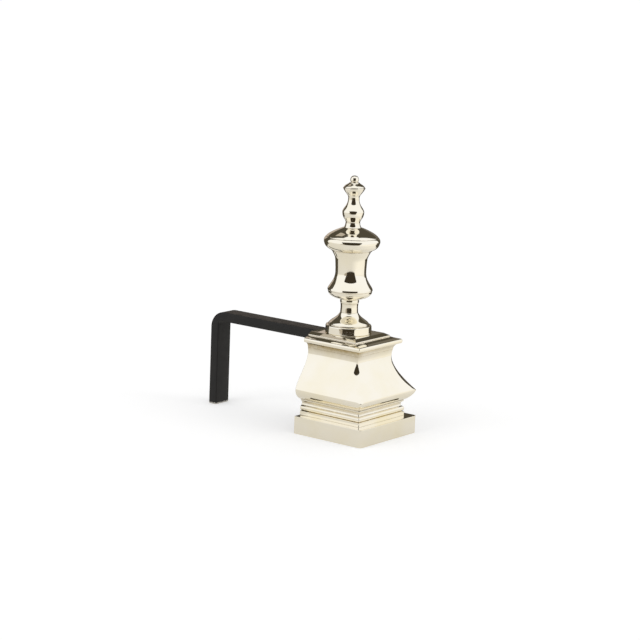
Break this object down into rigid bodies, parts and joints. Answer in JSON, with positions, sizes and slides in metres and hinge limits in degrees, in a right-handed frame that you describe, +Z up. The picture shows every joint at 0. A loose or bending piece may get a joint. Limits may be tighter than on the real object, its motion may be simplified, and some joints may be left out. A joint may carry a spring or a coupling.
{
  "type": "andiron",
  "caption": "Fireplace andiron: bombe brass pedestal with a turned vase spindle, and a black flat iron log bar bent down into a rear leg.",
  "frame": {"origin": "middle of the footprint on the hearth: halfway between the plinth's front face and the rear face of the leg, on the plane that the plinth and the leg stand on", "axes": "+Z up, along the spindle; -Y towards the room, which the pedestal faces; +Y towards the fire, along the log bar; +X to the right as seen from the room"},
  "size_m": [0.114, 0.278, 0.3165],
  "materials": {
    "polished_brass": "polished",
    "black_iron": "satin black",
    "plain_steel": "zinc plated"
  },
  "bodies": {
    "root": {"plinth": "polished_brass", "base_moulding": "polished_brass", "pedestal_body": "polished_brass", "cornice_cap": "polished_brass", "spindle_foot": "polished_brass", "spindle_stem": "polished_brass", "vase": "polished_brass", "vase_cover": "polished_brass", "finial": "polished_brass", "tip_button": "polished_brass", "billet_bar": "black_iron", "tie_rod": "plain_steel", "clamp_nuts": "plain_steel", "clamp_washers": "plain_steel", "bridge_plate": "plain_steel"}
  },
  "joints": []
}
